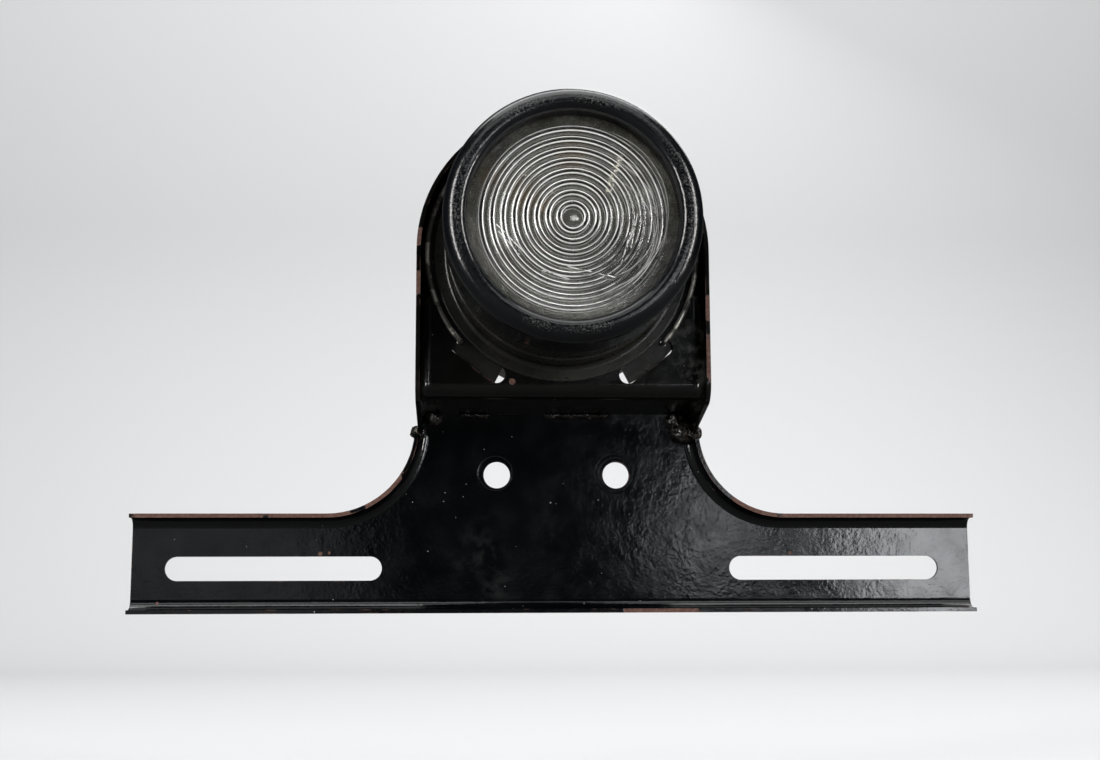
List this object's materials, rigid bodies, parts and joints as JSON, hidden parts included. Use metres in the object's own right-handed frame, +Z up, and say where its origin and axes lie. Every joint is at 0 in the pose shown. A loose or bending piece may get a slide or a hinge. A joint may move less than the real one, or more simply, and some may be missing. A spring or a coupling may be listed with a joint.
{
  "type": "motorcycle tail light",
  "caption": "Round pressed-steel tail light with a clear ringed lens on an arched carrier, welded to a slotted licence-plate bracket.",
  "frame": {"origin": "midway between the two fender bolt holes, on the bracket's flat back face", "axes": "+X to the right seen from behind the vehicle, +Y towards the fender, +Z up; the lamp faces -Y"},
  "size_m": [0.254, 0.0812, 0.1453],
  "materials": {
    "black_enamel": "brushed-on gloss black enamel over red primer, worn at the edges",
    "weld_metal": "lumpy brazed weld, painted over",
    "lens_glass": "pressed clear glass with concentric rings",
    "bulb_glass": "clear blown glass",
    "glass_bead": "solid glass bead",
    "black_glass": "glossy black insulating glass",
    "reflector_plate": "dulled silver plate",
    "spring_steel": "worn spring wire with remains of black paint",
    "zinc_steel": "dull plated steel",
    "brass": "tarnished brass",
    "solder": "grey solder",
    "fibre": "red-brown vulcanised fibre",
    "rubber": "matt black rubber",
    "cork": "brown cork and rubber gasket",
    "tungsten": "dark drawn wire"
  },
  "bodies": {
    "carrier": {"plate_bracket": "black_enamel", "lamp_carrier": "black_enamel", "weld_beads": "weld_metal", "lamp_drum": "black_enamel", "retaining_wire": "spring_steel", "rear_cup": "black_enamel", "lead_grommet": "rubber", "drum_screws": "zinc_steel", "lock_washers": "zinc_steel", "captive_nuts": "zinc_steel", "reflector": "reflector_plate", "socket_shell": "brass", "socket_flange": "brass", "socket_rivets": "brass", "socket_insulator": "fibre", "terminal_tab": "brass", "terminal_screw": "brass", "terminal_nut": "brass", "contact_spring": "spring_steel"},
    "bezel": {"bezel": "black_enamel", "lens": "lens_glass", "lens_gasket": "cork", "lens_ring": "spring_steel"},
    "contact": {"contact_disc": "fibre", "contact_plunger": "brass"},
    "bulb": {"bulb_base": "brass", "bulb_base_glass": "black_glass", "bulb_contact": "solder", "bulb_glass": "bulb_glass", "bulb_mount": "glass_bead", "bulb_leads": "zinc_steel", "bulb_filament": "tungsten"}
  },
  "joints": [
    {"name": "bezel_twist", "type": "hinge", "parent": "carrier", "child": "bezel", "pos_m": [0, -0.07, 0.0618], "axis": [0, -1, 0], "range_deg": [0, 20]},
    {"name": "bulb_push", "type": "slide", "parent": "carrier", "child": "bulb", "axis": [0, 1, 0], "range_m": [0, 0.002], "stiffness_N_per_m": 1500, "springref_m": -0.003},
    {"name": "contact_follow", "type": "slide", "parent": "carrier", "child": "contact", "axis": [0, 1, 0], "range_m": [0, 0.002], "deforming": ["contact_spring"]}
  ],
  "couplings": [
    {"joint": "contact_follow", "follows": "bulb_push", "ratio": 1}
  ]
}
